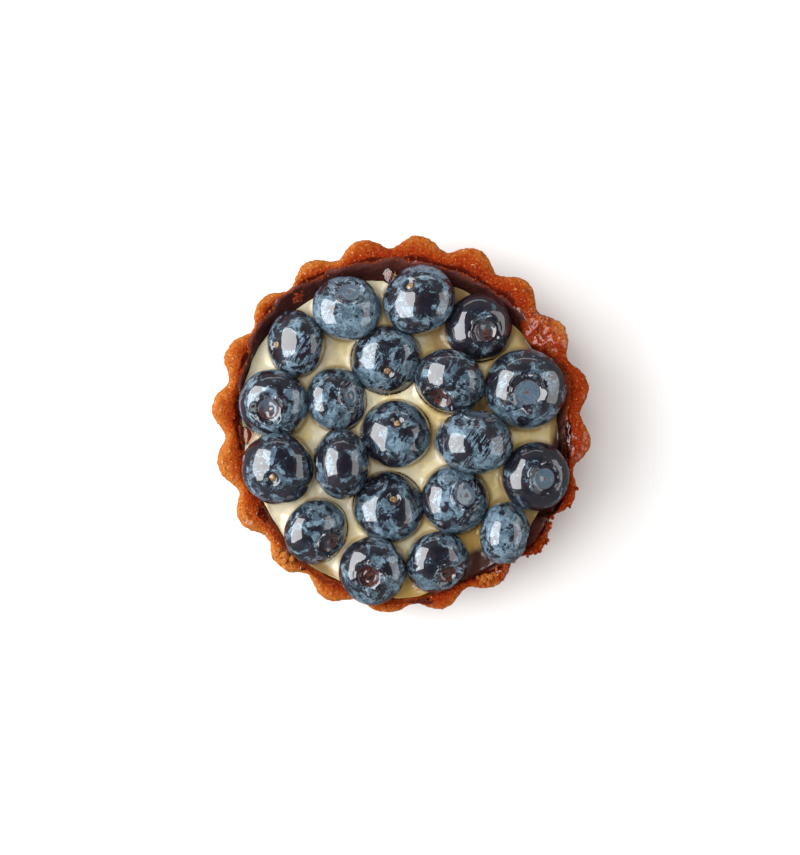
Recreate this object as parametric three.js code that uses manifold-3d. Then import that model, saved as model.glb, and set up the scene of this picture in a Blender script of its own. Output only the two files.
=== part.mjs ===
// A blueberry tartlet: a fluted shortcrust shell with a dark lining, a bed of pastry cream
// and twenty berries pressed into it. Millimetres, +Z up. The origin is the middle of the
// flat base, +X points to the right of the picture and +Y to its top.

import * as THREE from "three";
import { mergeVertices } from "three/addons/utils/BufferGeometryUtils.js";
import Module from "manifold-3d";

const wasm = await Module();
wasm.setup();

// The baked shell. Angles run anticlockwise from +X, in degrees.
const shell = {
  height: 20,
  rimRadius: 41.7, // mean of tips and valleys, at the rim
  baseRadius: 36, // the same, at the base
  flutes: 20,
  fluteDepth: 1.22, // half the way from valley to tip
  fluteRounding: 0.19, // makes the lobes round and the valleys tight
  firstTip: 12.7,
  floor: 3.2,
  innerRadius: 36.2, // inner edge of the rim where the wall is thickest
  leastWall: 1.4,
  wallLean: 0.24, // how fast the inner wall narrows towards the floor
  footRounding: 0.9,
  crumb: 0.16, // height of the sandy relief on the rim
  columnsPerFlute: 7,
};
// How far the outline departs from round, as waves round the rim.
const outOfRound = [
  { waves: 2, height: 0.14, crest: 52 },
  { waves: 3, height: 0.11, crest: 37 },
  { waves: 4, height: 0.26, crest: 81 },
];
// Places where the wall is thinner, by so much, over so many degrees each way.
const thinSpots = [
  { at: 16, spread: 13, by: 2.3 },
  { at: 90, spread: 12, by: 0.6 },
  { at: 135, spread: 21, by: 2.7 },
  { at: 166, spread: 14, by: 0.7 },
  { at: 235, spread: 14, by: 1.5 },
  { at: 266, spread: 21, by: 3.3 },
  { at: 318, spread: 22, by: 3.1 },
  { at: 339, spread: 11, by: 1.6 },
];
const lowSide = { at: 268, spread: 24, by: 1.3 }; // the rim dips where berries lean on it
const shallowFlutes = { at: 263, spread: 13, by: 0.35 };

// Pastry cream, highest at the front and lowest at the back.
const cream = {
  level: 16.9,
  slope: -0.05,
  doming: 0.0009,
  ripple: 0.22,
  edgeRadius: 35,
  edgeShift: 2.4, // the bed lies off the middle, this way:
  edgeTowards: 245,
  columns: 64,
  ringShares: [0.97, 0.84, 0.64, 0.42, 0.2],
};
const creamEdgeSpots = [
  { at: 95, spread: 14, by: -1.1 },
  { at: 150, spread: 14, by: 1 },
  { at: 270, spread: 15, by: 2 },
];

const lining = { thickness: 0.8, topBelowRim: 1.1, leastSlant: 1, columns: 80 };

const gap = 0.3; // left between pieces that touch
const jostling = { rounds: 400, gap: 0.2, pull: new THREE.Vector3(0.06, 0.06, 0.03) };

// Every berry: its middle in plan, its radius round the equator, the end that shows, how far
// that end leans from straight up and which way, in degrees. The lowest ones come first.
const berries = [
  { x: 17.1, y: 21.9, radius: 7.45, end: "calyx", lean: 18, towards: -35 },
  { x: -3.2, y: 15.3, radius: 7.75, end: "stem", lean: 27, towards: 274 },
  { x: 22.6, y: -24.3, radius: 6.85, end: "calyx", lean: 85, towards: -10 },
  { x: 29.9, y: -11.1, radius: 7.5, end: "calyx", lean: 17, towards: -13 },
  { x: 8.7, y: -30.9, radius: 7.05, end: "calyx", lean: 42, towards: -49 },
  { x: -3.5, y: -18.4, radius: 7.8, end: "stem", lean: 22, towards: 61 },
  { x: -27.9, y: -10.4, radius: 7.9, end: "stem", lean: 20, towards: 247 },
  { x: -23.8, y: 18.2, radius: 7.2, end: "stem", lean: 55, towards: 185 },
  { x: 28.1, y: 8.2, radius: 8.8, end: "calyx", lean: 8, towards: 273 },
  { x: -1.8, y: -2.4, radius: 7.6, end: "stem", lean: 27, towards: 85 },
  { x: -14.8, y: 5.9, radius: 7.05, end: "calyx", lean: 41, towards: 13 },
  { x: -19.4, y: -24.2, radius: 7.3, end: "calyx", lean: 48, towards: -35 },
  { x: -14.1, y: -8.9, radius: 7.55, end: "calyx", lean: 84, towards: 182 },
  { x: -29.6, y: 4.8, radius: 7.6, end: "calyx", lean: 15, towards: 234 },
  { x: -12.0, y: 26.4, radius: 7.5, end: "calyx", lean: 37, towards: 78 },
  { x: 4.0, y: 28.1, radius: 7.95, end: "stem", lean: 37, towards: 127 },
  { x: 11.0, y: 9.8, radius: 7.75, end: "calyx", lean: 50, towards: 239 },
  { x: 17.0, y: -3.8, radius: 8.4, end: "calyx", lean: 75, towards: 84 },
  { x: 12.4, y: -17.5, radius: 7.55, end: "calyx", lean: 27, towards: 28 },
  { x: -7.0, y: -32.8, radius: 7.35, end: "calyx", lean: 13, towards: 231 },
];
const berry = {
  flatness: 0.79, // height over width
  pressedIn: 3.4, // how deep a berry sits in the cream when nothing holds it up
  columns: 15,
  lobes: 5,
};
// A berry's outline from its stem scar to its calyx, in shares of its two radii, and how far
// the five lobes of the crown push each ring out.
const berryProfile = [
  { out: 0.2, up: -0.97, lobe: 0 },
  { out: 0.56, up: -0.84, lobe: 0 },
  { out: 0.88, up: -0.49, lobe: 0 },
  { out: 1.0, up: 0.0, lobe: 0 },
  { out: 0.9, up: 0.45, lobe: 0 },
  { out: 0.64, up: 0.79, lobe: 0 },
  { out: 0.42, up: 0.91, lobe: 0.02 },
  { out: 0.37, up: 1.03, lobe: 0.05 },
  { out: 0.25, up: 0.84, lobe: 0 },
];
const crownTip = { out: 0.42, up: 1.03 };
const stemPit = -0.9;
const cupFloor = 0.82;
const hollowForm = { columns: 12, rows: 6, roomForCrown: 1.1 };

const radians = THREE.MathUtils.degToRad;

// 1 at a spot's middle, falling to 0 away from it round the rim.
function near(angle, { at, spread }) {
  const away = THREE.MathUtils.euclideanModulo(angle - at + 180, 360) - 180;
  return Math.exp(-((away / spread) ** 2));
}

function total(angle, spots) {
  return spots.reduce((sum, spot) => sum + spot.by * near(angle, spot), 0);
}

// Seeded random numbers from 0 to 1.
function randomFrom(seed) {
  let state = seed;
  return () => {
    state = (Math.imul(state, 1664525) + 1013904223) >>> 0;
    return state / 2 ** 32;
  };
}

function outerRadius(angle, z) {
  const share = z / shell.height;
  const mean = THREE.MathUtils.lerp(shell.baseRadius, shell.rimRadius, share);
  const turn = radians(shell.flutes * (angle - shell.firstTip));
  const lobe = shell.fluteDepth * Math.cos(turn) - shell.fluteRounding * Math.cos(2 * turn);
  const shallow = 1 - shallowFlutes.by * near(angle, shallowFlutes);
  const drift = outOfRound.reduce(
    (sum, wave) => sum + wave.height * Math.cos(radians(wave.waves * (angle - wave.crest))),
    0,
  );
  return mean + lobe * shallow * THREE.MathUtils.lerp(0.75, 1, share) + drift;
}

function rimHeight(angle) {
  const uneven = 0.25 * Math.sin(radians(3 * angle + 40)) + 0.2 * Math.sin(radians(7 * angle));
  return shell.height + uneven - lowSide.by * near(angle, lowSide);
}

function rimInner(angle) {
  const wanted = shell.innerRadius + total(angle, thinSpots);
  return Math.min(wanted, outerRadius(angle, shell.height) - shell.leastWall);
}

function creamTop(x, y) {
  const ripple = Math.sin(0.31 * x + 0.12 * y) + Math.sin(0.27 * y - 0.16 * x + 1);
  return cream.level + cream.slope * y - cream.doming * (x * x + y * y) + cream.ripple * ripple;
}

function creamEdge(angle) {
  const shifted = cream.edgeRadius + cream.edgeShift * Math.cos(radians(angle - cream.edgeTowards));
  const room = rimInner(angle) - 2 * gap - 1.2 * lining.thickness;
  return Math.min(shifted + total(angle, creamEdgeSpots), room);
}

function creamEdgeHeight(angle) {
  const r = creamEdge(angle);
  return creamTop(r * Math.cos(radians(angle)), r * Math.sin(radians(angle)));
}

// Where the inner face of the shell bends outwards, just under the cream's edge.
function bendHeight(angle) {
  const highest = rimHeight(angle) - lining.topBelowRim - lining.leastSlant;
  return Math.min(creamEdgeHeight(angle) - 0.4, highest);
}

// The inner face of the shell: steep below the bend, slanting out to the rim above it.
function wallInner(angle, z) {
  const atBend = creamEdge(angle) + lining.thickness + 2 * gap;
  const bend = bendHeight(angle);
  if (z <= bend) return atBend - shell.wallLean * (bend - z);
  const share = (z - bend) / (rimHeight(angle) - lining.topBelowRim - bend);
  return THREE.MathUtils.lerp(atBend, rimInner(angle), Math.min(share, 1));
}

function ring(columns, place) {
  return Array.from({ length: columns }, (_, i) => {
    const angle = (360 * i) / columns;
    const { r, z } = place(angle, i);
    return new THREE.Vector3(r * Math.cos(radians(angle)), r * Math.sin(radians(angle)), z);
  });
}

// A closed surface over rings of points, listed up the outside and down the inside. It is
// closed by a point at each end, or, with no end points, by joining the last ring to the first.
function surface(rings, ends) {
  const positions = [];
  const face = (...corners) => corners.forEach((p) => positions.push(p.x, p.y, p.z));
  const columns = rings[0].length;
  rings.forEach((low, i) => {
    const high = rings[(i + 1) % rings.length];
    if (ends && i === rings.length - 1) return;
    for (let j = 0; j < columns; j++) {
      const k = (j + 1) % columns;
      face(low[j], low[k], high[k]);
      face(low[j], high[k], high[j]);
    }
  });
  if (ends) {
    const [first, last] = [rings[0], rings[rings.length - 1]];
    for (let j = 0; j < columns; j++) {
      const k = (j + 1) % columns;
      face(ends[0], first[k], first[j]);
      face(ends[1], last[j], last[k]);
    }
  }
  return new THREE.BufferGeometry().setAttribute(
    "position",
    new THREE.Float32BufferAttribute(positions, 3),
  );
}

function solidOf(geometry) {
  const merged = mergeVertices(geometry, 1e-4);
  return new wasm.Manifold(
    new wasm.Mesh({
      numProp: 3,
      vertProperties: merged.attributes.position.array,
      triVerts: new Uint32Array(merged.index.array),
    }),
  );
}

function geometryOf(solid) {
  const { vertProperties, triVerts } = solid.getMesh();
  const geometry = new THREE.BufferGeometry();
  geometry.setAttribute("position", new THREE.Float32BufferAttribute(vertProperties, 3));
  geometry.setIndex(new THREE.BufferAttribute(triVerts, 1));
  return geometry;
}

function shellGeometry() {
  const columns = shell.flutes * shell.columnsPerFlute;
  const random = randomFrom(11);
  const grain = () => shell.crumb * (2 * random() - 1);
  const outside = (z, inset = 0) =>
    ring(columns, (angle) => ({ r: outerRadius(angle, z) - inset + 0.5 * grain(), z }));
  // A point of the rim, placed by its share of the way from the outer edge to the inner one.
  const top = (share, drop) =>
    ring(columns, (angle) => {
      const z = rimHeight(angle) - drop;
      const r = THREE.MathUtils.lerp(outerRadius(angle, z), rimInner(angle), share);
      return { r, z: z + grain() };
    });
  const inside = (z) => ring(columns, (angle) => ({ r: wallInner(angle, z(angle)), z: z(angle) }));
  const rings = [
    ring(columns, (angle) => ({ r: outerRadius(angle, 0) - shell.footRounding, z: 0 })),
    outside(shell.footRounding),
    outside(0.5 * shell.height),
    outside(0.92 * shell.height),
    top(0.03, 0.7),
    top(0.22, 0.05),
    top(0.72, 0),
    top(0.96, 0.65),
    inside((angle) => rimHeight(angle) - lining.topBelowRim),
    inside(bendHeight),
    inside(() => shell.floor),
  ];
  return surface(rings, [new THREE.Vector3(0, 0, 0), new THREE.Vector3(0, 0, shell.floor)]);
}

// A skin over the inner wall, from the floor to just under the rim.
function liningGeometry() {
  const bottom = shell.floor + gap;
  const crest = (angle) => rimHeight(angle) - lining.topBelowRim - gap;
  const side = (height, inset) =>
    ring(lining.columns, (angle) => ({
      r: wallInner(angle, height(angle)) - inset,
      z: height(angle),
    }));
  const back = gap;
  const front = gap + lining.thickness;
  return surface([
    side(() => bottom, back),
    side(bendHeight, back),
    side(crest, back),
    side((angle) => crest(angle) - 0.5, front),
    side(bendHeight, front),
    side(() => bottom, front),
  ]);
}

function creamGeometry() {
  const edge = (angle) => creamEdge(angle) - gap;
  const bottom = shell.floor + gap;
  const side = (z) =>
    ring(cream.columns, (angle) => ({
      r: wallInner(angle, z(angle)) - lining.thickness - 2 * gap,
      z: z(angle),
    }));
  const over = (share) =>
    ring(cream.columns, (angle) => {
      const r = share * edge(angle);
      return { r, z: creamTop(r * Math.cos(radians(angle)), r * Math.sin(radians(angle))) };
    });
  const rings = [
    side(() => bottom),
    side((angle) => bendHeight(angle) - 0.3),
    ...cream.ringShares.map(over),
  ];
  return surface(rings, [
    new THREE.Vector3(0, 0, bottom),
    new THREE.Vector3(0, 0, creamTop(0, 0)),
  ]);
}

// The way the end that shows points.
function leanOf({ lean, towards }) {
  const flat = Math.sin(radians(lean));
  return new THREE.Vector3(
    flat * Math.cos(radians(towards)),
    flat * Math.sin(radians(towards)),
    Math.cos(radians(lean)),
  );
}

// How far a berry reaches from its middle in a direction, with its round body or its crown.
function reach(one, direction) {
  const along = direction.dot(leanOf(one)) * (one.end === "calyx" ? 1 : -1);
  const across = Math.sqrt(1 - along * along);
  const body = Math.hypot(across, along * berry.flatness);
  const crown = across * crownTip.out + along * crownTip.up * berry.flatness;
  return one.radius * Math.max(body, crown);
}

// The widest gap that a flat sheet between two berries could fill, and the way across it.
function clearance(a, b) {
  const between = b.at.clone().sub(a.at);
  const level = Math.atan2(between.y, between.x);
  let widest = { size: -Infinity };
  for (let rise = -70; rise <= 70; rise += 5) {
    const flat = Math.cos(radians(rise));
    const way = new THREE.Vector3(
      flat * Math.cos(level),
      flat * Math.sin(level),
      Math.sin(radians(rise)),
    );
    const size = between.dot(way) - reach(a, way) - reach(b, way.clone().negate());
    if (size > widest.size) widest = { size, way };
  }
  return widest;
}

// How deep a point lies inside a berry that is grown by a margin, or 0.
function depth(one, point, margin) {
  const from = point.clone().sub(one.at);
  const along = from.dot(leanOf(one));
  const across = Math.sqrt(Math.max(from.lengthSq() - along * along, 0));
  const wide = one.radius + margin;
  const high = one.radius * berry.flatness + margin;
  const share = Math.hypot(across / wide, along / high);
  return share < 1 ? (1 - share) * high : 0;
}

// Points on the rim and the inner wall near a berry.
function shellPoints(one) {
  const middle = THREE.MathUtils.radToDeg(Math.atan2(one.y, one.x));
  const points = [];
  for (let angle = middle - 24; angle <= middle + 24; angle += 3) {
    const rim = rimHeight(angle);
    const across = (share) => THREE.MathUtils.lerp(outerRadius(angle, rim), rimInner(angle), share);
    const spots = [
      { r: across(0.3), z: rim },
      { r: across(0.72), z: rim },
      { r: across(0.96), z: rim - 0.6 },
    ];
    for (let z = creamEdgeHeight(angle) - 3; z < rim - 1; z += 0.8) {
      spots.push({ r: wallInner(angle, z), z });
    }
    spots.forEach(({ r, z }) =>
      points.push(new THREE.Vector3(r * Math.cos(radians(angle)), r * Math.sin(radians(angle)), z)),
    );
  }
  return points;
}

// Sets each berry into the cream and lets the berries jostle: each is drawn back to its own
// place, and pushed off its neighbours and the shell until nothing touches.
function settle(list) {
  const up = new THREE.Vector3(0, 0, 1);
  const laid = list.map((one, i) => {
    const deep = reach(one, up) - berry.pressedIn;
    const home = new THREE.Vector3(one.x, one.y, creamTop(one.x, one.y) + deep);
    const name = `blueberry_${String(i + 1).padStart(2, "0")}`;
    return { ...one, name, home, at: home.clone(), wall: shellPoints(one) };
  });
  for (let round = 0; round < jostling.rounds; round++) {
    const pull = Math.max(0, 1 - (1.25 * round) / jostling.rounds);
    laid.forEach((one, i) => {
      const away = one.home.clone().sub(one.at);
      one.at.add(away.multiply(jostling.pull).multiplyScalar(pull));
      laid.slice(0, i).forEach((other) => {
        const { size, way } = clearance(other, one);
        if (size >= jostling.gap) return;
        const push = way.multiplyScalar((jostling.gap - size) / 2);
        one.at.add(push);
        other.at.sub(push);
      });
      one.wall.forEach((point) => {
        const inside = depth(one, point, jostling.gap);
        const out = one.at.clone().sub(point).normalize();
        one.at.addScaledVector(out, 0.5 * inside);
      });
    });
  }
  return laid;
}

// A berry about its own middle, its calyx at +Z.
function berryGeometry(one) {
  const wide = one.radius;
  const high = one.radius * berry.flatness;
  const rings = berryProfile.map(({ out, up, lobe }) =>
    ring(berry.columns, (angle) => ({
      r: wide * (out + lobe * Math.cos(radians(berry.lobes * angle))),
      z: high * up,
    })),
  );
  return surface(rings, [
    new THREE.Vector3(0, 0, high * stemPit),
    new THREE.Vector3(0, 0, high * cupFloor),
  ]);
}

// Turns and moves an object so that the berry's visible end leans as it should.
function place(object, one) {
  const up = new THREE.Vector3(0, 0, one.end === "calyx" ? 1 : -1);
  object.quaternion.setFromUnitVectors(up, leanOf(one));
  object.position.copy(one.at);
  object.updateMatrix();
  return object;
}

// The hollow that a berry presses into softer food: a plain round form, wholly clear of it.
function hollow(one) {
  const { columns, rows } = hollowForm;
  const flats = Math.cos(Math.PI / columns) * Math.cos(Math.PI / (2 * rows));
  const wide = (one.radius + gap) / flats;
  const high = (one.radius * berry.flatness * hollowForm.roomForCrown + gap) / flats;
  const rings = Array.from({ length: rows - 1 }, (_, i) => {
    const turn = (Math.PI * (i + 1)) / rows;
    return ring(columns, () => ({ r: wide * Math.sin(turn), z: -high * Math.cos(turn) }));
  });
  const geometry = surface(rings, [
    new THREE.Vector3(0, 0, -high),
    new THREE.Vector3(0, 0, high),
  ]);
  return solidOf(geometry.applyMatrix4(place(new THREE.Object3D(), one).matrix));
}

function material(colour, roughness) {
  return new THREE.MeshStandardMaterial({ color: colour, roughness, metalness: 0 });
}

const finishes = {
  crust: material("#a9521f", 0.8),
  lining: material("#3c1d1a", 0.35),
  cream: material("#dcc994", 0.45),
  skin: material("#28303f", 0.25),
};

function piece(name, geometry, finish) {
  const mesh = new THREE.Mesh(geometry, finish);
  mesh.name = name;
  return mesh;
}

const laid = settle(berries);
const hollows = laid.map(hollow);

// Food with the berries' hollows cut out of it, and without the slivers left between hollows.
function carve(geometry) {
  const carved = hollows.reduce((solid, cut) => solid.subtract(cut), solidOf(geometry));
  const bodies = carved.decompose().sort((a, b) => b.volume() - a.volume());
  return geometryOf(bodies[0]);
}

const tart = new THREE.Group();
tart.add(piece("crust", shellGeometry(), finishes.crust));
tart.add(piece("chocolate_lining", carve(liningGeometry()), finishes.lining));
tart.add(piece("pastry_cream", carve(creamGeometry()), finishes.cream));
laid.forEach((one) => {
  tart.add(place(piece(one.name, berryGeometry(one), finishes.skin), one));
});

export default tart;
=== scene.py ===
import math
import random

import bmesh
import bpy
import numpy as np
from mathutils import Matrix, Vector, noise


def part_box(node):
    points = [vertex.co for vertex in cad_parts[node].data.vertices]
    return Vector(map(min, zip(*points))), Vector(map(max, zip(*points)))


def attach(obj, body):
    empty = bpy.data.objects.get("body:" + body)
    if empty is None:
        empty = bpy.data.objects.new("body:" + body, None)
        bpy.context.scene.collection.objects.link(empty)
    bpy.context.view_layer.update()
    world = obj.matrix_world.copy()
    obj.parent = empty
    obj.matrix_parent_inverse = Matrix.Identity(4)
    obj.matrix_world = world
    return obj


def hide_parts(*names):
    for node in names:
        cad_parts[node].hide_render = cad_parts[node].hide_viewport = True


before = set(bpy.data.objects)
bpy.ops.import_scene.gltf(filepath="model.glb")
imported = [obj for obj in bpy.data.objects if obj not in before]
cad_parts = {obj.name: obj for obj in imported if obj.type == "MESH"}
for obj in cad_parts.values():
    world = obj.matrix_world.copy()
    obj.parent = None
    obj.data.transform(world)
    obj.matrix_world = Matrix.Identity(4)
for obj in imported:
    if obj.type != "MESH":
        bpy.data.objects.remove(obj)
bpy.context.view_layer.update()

# A blueberry tartlet. Pieces are modelled in millimetres round the middle of the flat base,
# then shrunk to metres. Angles are degrees, anticlockwise from +X as seen from above.
mm = 0.001
scene = bpy.context.scene


def deselectAll():
    if bpy.context.mode != "OBJECT":
        bpy.ops.object.mode_set(mode="OBJECT")
    bpy.ops.object.select_all(action="DESELECT")


def selectOnly(piece):
    deselectAll()
    piece.select_set(True)
    bpy.context.view_layer.objects.active = piece


def readPlaces(piece):
    places = np.empty(len(piece.data.vertices) * 3)
    piece.data.vertices.foreach_get("co", places)
    return places.reshape(-1, 3)


def writePlaces(piece, places):
    piece.data.vertices.foreach_set("co", places.ravel())
    piece.data.update()


def polar(places):
    angle = np.degrees(np.arctan2(places[:, 1], places[:, 0])) % 360
    return angle, np.hypot(places[:, 0], places[:, 1])


def fromPolar(angle, radius, height):
    turn = np.radians(angle)
    return np.stack([radius * np.cos(turn), radius * np.sin(turn), height], axis=1)


def lerp(low, high, share):
    return low + (high - low) * share


# 0 at one value and 1 at the other, and straight between them.
def ramp(value, zeroAt, oneAt):
    return np.clip((value - zeroAt) / (oneAt - zeroAt), 0, 1)


# The direction that leans so far from straight up.
def leaning(lean, towards):
    flat, turn = math.sin(math.radians(lean)), math.radians(towards)
    return Vector((flat * math.cos(turn), flat * math.sin(turn), math.cos(math.radians(lean))))


# A ball of radius 1.
def addBall(segments, rings):
    deselectAll()
    bpy.ops.mesh.primitive_uv_sphere_add(segments=segments, ring_count=rings, radius=1)
    return bpy.context.object


def applyModifier(piece, kind, **settings):
    modifier = piece.modifiers.new(kind.lower(), kind)
    for key, value in settings.items():
        setattr(modifier, key, value)
    selectOnly(piece)
    bpy.ops.object.modifier_apply(modifier=modifier.name)


def displace(piece, size, strength, group="", depth=2, basis="BLENDER_ORIGINAL"):
    texture = bpy.data.textures.new("relief", "CLOUDS")
    texture.noise_scale = size
    texture.noise_depth = depth
    texture.noise_basis = basis
    applyModifier(piece, "DISPLACE", texture=texture, strength=strength, mid_level=0.5,
                  vertex_group=group)
    bpy.data.textures.remove(texture)


def roughen(piece, relief):
    for layer in relief:
        displace(piece, *layer)


# Blender takes the vertices of one weight at a time, so weights are rounded to twentieths.
def weightGroup(piece, name, weights):
    group = piece.vertex_groups.new(name=name)
    steps = np.round(np.clip(weights, 0, 1) * 20).astype(int)
    for step in range(1, 21):
        group.add(np.flatnonzero(steps == step).tolist(), step / 20, "REPLACE")


# Keeps a number or a vector for each vertex, which the finishes read.
def store(piece, name, values):
    kind, key = ("FLOAT", "value") if np.ndim(values) == 1 else ("FLOAT_VECTOR", "vector")
    layer = piece.data.attributes.new(name, kind, "POINT")
    layer.data.foreach_set(key, np.ravel(values).astype(np.float32))


def finishPiece(piece, name, finish, slotName, *nodes):
    piece.name = piece.data.name = name
    piece.data.materials.clear()
    piece.data.materials.append(finish)
    piece.data.transform(Matrix.Scale(mm, 4))
    selectOnly(piece)
    bpy.ops.object.shade_smooth()
    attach(piece, "root")
    if nodes:
        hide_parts(*nodes)
    print(f"{name}: {len(piece.data.polygons)} faces")


# Extrudes what is selected from each ring to the next.
def extrudeRings(rings):
    for (fromRadius, fromHeight), (toRadius, toHeight) in zip(rings, rings[1:]):
        share = toRadius / fromRadius
        bpy.ops.mesh.extrude_region_move(
            TRANSFORM_OT_translate={"value": (0, 0, toHeight - fromHeight)})
        bpy.ops.transform.resize(value=(share, share, 1))


# A stack of rings of radius and height, with both ends closed or both left open.
def stackRings(around, rings, closed):
    deselectAll()
    radius, height = rings[0]
    bpy.ops.mesh.primitive_circle_add(vertices=around, radius=radius, location=(0, 0, height),
                                      fill_type="NGON" if closed else "NOTHING")
    piece = bpy.context.object
    bpy.ops.object.transform_apply(location=True, rotation=False, scale=False)
    bpy.ops.object.mode_set(mode="EDIT")
    bpy.ops.mesh.select_all(action="SELECT")
    extrudeRings(rings)
    bpy.ops.object.mode_set(mode="OBJECT")
    return piece


# The number of the ring that each vertex of such a stack belongs to, found a part at a time.
def ringNumbers(piece, rings):
    places = readPlaces(piece)
    flat = np.stack([np.hypot(places[:, 0], places[:, 1]), places[:, 2]], axis=1)
    numbers = np.empty(len(flat), dtype=int)
    for start in range(0, len(flat), 8000):
        part = flat[start:start + 8000]
        away = ((part[:, None, :] - np.array(rings)[None]) ** 2).sum(axis=2)
        numbers[start:start + 8000] = away.argmin(axis=1)
    return numbers


def noiseAt(points):
    return np.array([noise.noise(Vector(point)) for point in points])


# Noise along a circle of the given radius, so that it is the same at 0 and 360 degrees.
def circleNoise(turn, radius, height):
    x, y = radius * np.cos(turn), radius * np.sin(turn)
    return noiseAt(np.stack([x, y, np.full_like(turn, height)], axis=1))


# Layers of such noise round the rim: how much, about how many waves, and a seed.
def waver(angle, *layers):
    return sum(amount * circleNoise(np.radians(angle), waves / (2 * math.pi), seed)
               for amount, waves, seed in layers)


# Node helpers. An input is a value or another node's output, which also tells whose tree it is.
def setInputs(node, inputs):
    for key, value in inputs.items():
        if isinstance(value, bpy.types.NodeSocket):
            node.id_data.links.new(value, node.inputs[key])
        else:
            node.inputs[key].default_value = value


def addNode(kind, inputs, tree=None, **settings):
    tree = tree or next(v.id_data for v in inputs.values() if isinstance(v, bpy.types.NodeSocket))
    node = tree.nodes.new(kind)
    for key, value in settings.items():
        setattr(node, key, value)
    setInputs(node, inputs)
    return node


def calculate(operation, *values):
    return addNode("ShaderNodeMath", dict(enumerate(values)), operation=operation).outputs[0]


def times(first, second):
    return calculate("MULTIPLY", first, second)


def plus(first, second):
    return calculate("ADD", first, second)


def minus(first, second):
    return calculate("SUBTRACT", first, second)


def timesPlus(value, factor, rest):
    return calculate("MULTIPLY_ADD", value, factor, rest)


def fade(value, low, high, start=0.0, end=1.0):
    inputs = {"Value": value, "From Min": low, "From Max": high, "To Min": start, "To Max": end}
    return addNode("ShaderNodeMapRange", inputs, interpolation_type="SMOOTHSTEP").outputs[0]


def mixColours(share, first, second, blend="MIX"):
    inputs = {0: share, 6: first, 7: second}
    return addNode("ShaderNodeMix", inputs, data_type="RGBA", blend_type=blend).outputs[2]


def speckle(place, scale, detail=3.0, roughness=0.55, distortion=0.0):
    inputs = {"Vector": place, "Scale": scale, "Detail": detail, "Roughness": roughness,
              "Distortion": distortion}
    return addNode("ShaderNodeTexNoise", inputs).outputs["Fac"]


# Coordinates turned first and then divided by the lengths given.
def stretched(place, lengths, turn):
    inputs = {"Vector": place, "Scale": lengths, "Rotation": turn}
    return addNode("ShaderNodeMapping", inputs, vector_type="TEXTURE").outputs[0]


def bump(height, strength, distance):
    return addNode("ShaderNodeBump", {"Height": height, "Strength": strength,
                                      "Distance": distance}).outputs[0]


def attribute(shader, name, output="Fac"):
    node = addNode("ShaderNodeAttribute", {}, shader.id_data, attribute_name=name)
    return node.outputs[output]


def split(vector):
    return addNode("ShaderNodeSeparateXYZ", {"Vector": vector}).outputs


def newFinish(name):
    finish = bpy.data.materials.new(name)
    finish.use_nodes = True
    place = addNode("ShaderNodeTexCoord", {}, finish.node_tree).outputs["Object"]
    return finish, finish.node_tree.nodes["Principled BSDF"], place


# The camera looks straight down, as in the photograph.
view = {
    "lens": 85,
    "sensor": 36,
    "frameHeight": 855,  # picture elements
    "size": 0.2239,  # millimetres that one picture element covers at the rim
    "rimHeight": 20,
    "centre": (-0.47, -0.56),
}


def addCamera():
    distance = view["size"] * view["frameHeight"] * view["lens"] / view["sensor"]
    data = bpy.data.cameras.new("overheadCamera")
    data.lens = view["lens"]
    data.sensor_width = view["sensor"]
    data.clip_start = 0.01
    camera = bpy.data.objects.new("overheadCamera", data)
    camera.location = (*(mm * c for c in view["centre"]), mm * (view["rimHeight"] + distance))
    scene.collection.objects.link(camera)
    scene.camera = camera


# Soft boxes. The glaze of each berry shows all but the one overhead, which only fills.
softBoxes = [
    {"name": "leftBox", "zenith": 55, "towards": 176, "away": 0.62, "width": 0.93, "height": 0.60,
     "radiance": 5.6, "colour": (0.98, 0.985, 1.0), "seen": True},
    {"name": "rightBox", "zenith": 70, "towards": 0, "away": 0.62, "width": 0.75, "height": 0.44,
     "radiance": 1.75, "colour": (1.0, 0.98, 0.99), "seen": True},
    {"name": "farBox", "zenith": 80, "towards": 95, "away": 0.8, "width": 0.9, "height": 0.08,
     "radiance": 1.6, "colour": (1.0, 0.99, 0.97), "seen": True},
    {"name": "overheadFill", "zenith": 8, "towards": 150, "away": 1.1, "width": 0.9, "height": 0.9,
     "radiance": 4.6, "colour": (1.0, 0.985, 0.96), "seen": False},
]
room = {"overhead": 0.03, "walls": 0.20, "darkTo": 0.80, "lightFrom": 0.45, "colour": (0.98, 0.98, 1.0)}
floor = {"size": 6.0, "colour": (0.72, 0.72, 0.72)}


def addLights():
    for box in softBoxes:
        data = bpy.data.lights.new(box["name"], "AREA")
        data.shape = "RECTANGLE"
        data.size = box["width"]
        data.size_y = box["height"]
        data.energy = box["radiance"] * math.pi * box["width"] * box["height"]
        data.color = box["colour"]
        lamp = bpy.data.objects.new(box["name"], data)
        way = leaning(box["zenith"], box["towards"])
        lamp.location = way * box["away"]
        lamp.rotation_euler = way.to_track_quat("Z", "Y").to_euler()
        lamp.visible_glossy = box["seen"]
        scene.collection.objects.link(lamp)
    world = bpy.data.worlds.new("paleRoom")
    scene.world = world
    world.use_nodes = True
    way = addNode("ShaderNodeTexCoord", {}, world.node_tree).outputs["Generated"]
    strength = fade(split(way)[2], room["lightFrom"], room["darkTo"], room["walls"], room["overhead"])
    setInputs(world.node_tree.nodes["Background"], {"Color": (*room["colour"], 1), "Strength": strength})


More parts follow.
